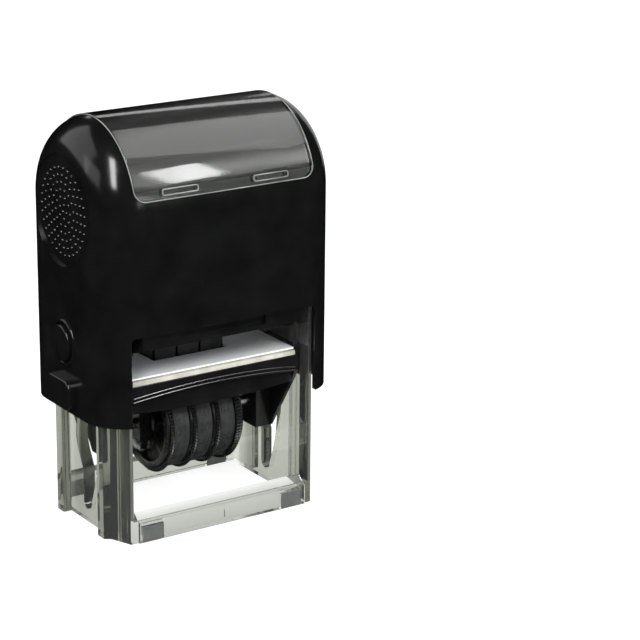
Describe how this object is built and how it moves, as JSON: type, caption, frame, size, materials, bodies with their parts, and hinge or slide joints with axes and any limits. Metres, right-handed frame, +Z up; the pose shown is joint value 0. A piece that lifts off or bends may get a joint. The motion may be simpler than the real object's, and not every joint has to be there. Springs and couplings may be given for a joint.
{
  "type": "rotary date stamp",
  "caption": "Self-inking date stamp: sprung casing slides on a clear base, its head with date bands and text plate turns over from ink pad to paper.",
  "frame": {"origin": "middle of the footprint, on the surface the stamp stands on", "axes": "+Z up, +X along the long side to the right, -Y to the front, where the cartridge slides out"},
  "size_m": [0.0782, 0.0462, 0.1129],
  "materials": {
    "black_casing": "satin gloss moulding",
    "black_inner": "fine matte moulding",
    "clear_plastic": "smoky clear polystyrene",
    "window_plastic": "clear cover",
    "foot_rubber": "grey rubber",
    "ink_felt": "inked felt",
    "spring_steel": "bright wire",
    "plate_white": "light grey moulding",
    "strip_cream": "cream edge strip",
    "band_rubber": "dark grey rubber",
    "wheel_plastic": "black moulding"
  },
  "bodies": {
    "frame": {"clear_base": "clear_plastic", "foot_front_left": "foot_rubber", "foot_front_right": "foot_rubber", "foot_back_left": "foot_rubber", "foot_back_right": "foot_rubber", "pad_carrier": "black_inner"},
    "cartridge": {"ink_tray": "black_inner", "ink_pad": "ink_felt"},
    "casing": {"casing": "black_casing", "index_window": "window_plastic", "pivot_cover_left": "black_casing", "pivot_cover_right": "black_casing", "return_spring": "spring_steel"},
    "head": {"head_frame": "black_inner", "head_bracket_left": "black_inner", "head_bracket_right": "black_inner", "text_plate": "plate_white", "plate_strip": "strip_cream", "band_bridge": "black_inner", "wheel_axle": "spring_steel", "axle_hanger": "black_inner", "axle_clip": "spring_steel", "pivot_pin_left": "spring_steel", "pivot_pin_right": "spring_steel", "date_band_1": "band_rubber", "date_band_2": "band_rubber", "date_band_3": "band_rubber"},
    "wheel_1": {"date_wheel_1": "wheel_plastic"},
    "wheel_2": {"date_wheel_2": "wheel_plastic"},
    "wheel_3": {"date_wheel_3": "wheel_plastic"},
    "button_left": {"lock_button_left": "black_casing"},
    "button_right": {"lock_button_right": "black_casing"}
  },
  "joints": [
    {"name": "press", "type": "slide", "parent": "frame", "child": "casing", "axis": [0, 0, -1], "range_m": [0, 0.0293], "stiffness_N_per_m": 450, "springref_m": -0.018, "deforming": ["return_spring"]},
    {"name": "flip", "type": "hinge", "parent": "casing", "child": "head", "pos_m": [0, 0, 0.039], "axis": [1, 0, 0], "range_deg": [0, 180]},
    {"name": "cartridge_slide", "type": "slide", "parent": "frame", "child": "cartridge", "axis": [0, 1, 0], "range_m": [-0.036, 0]},
    {"name": "button_left_push", "type": "slide", "parent": "casing", "child": "button_left", "axis": [-1, 0, 0], "range_m": [-0.0015, 0], "stiffness_N_per_m": 400, "springref_m": 0.002},
    {"name": "button_right_push", "type": "slide", "parent": "casing", "child": "button_right", "axis": [1, 0, 0], "range_m": [-0.0015, 0], "stiffness_N_per_m": 400, "springref_m": 0.002},
    {"name": "wheel_1_turn", "type": "hinge", "parent": "head", "child": "wheel_1", "pos_m": [0, 0, 0.0257], "axis": [1, 0, 0], "continuous": true},
    {"name": "wheel_2_turn", "type": "hinge", "parent": "head", "child": "wheel_2", "pos_m": [0, 0, 0.0257], "axis": [1, 0, 0], "continuous": true},
    {"name": "wheel_3_turn", "type": "hinge", "parent": "head", "child": "wheel_3", "pos_m": [0, 0, 0.0257], "axis": [1, 0, 0], "continuous": true}
  ],
  "couplings": [
    {"joint": "flip", "follows": "press", "rad_per_m": 107.22}
  ]
}
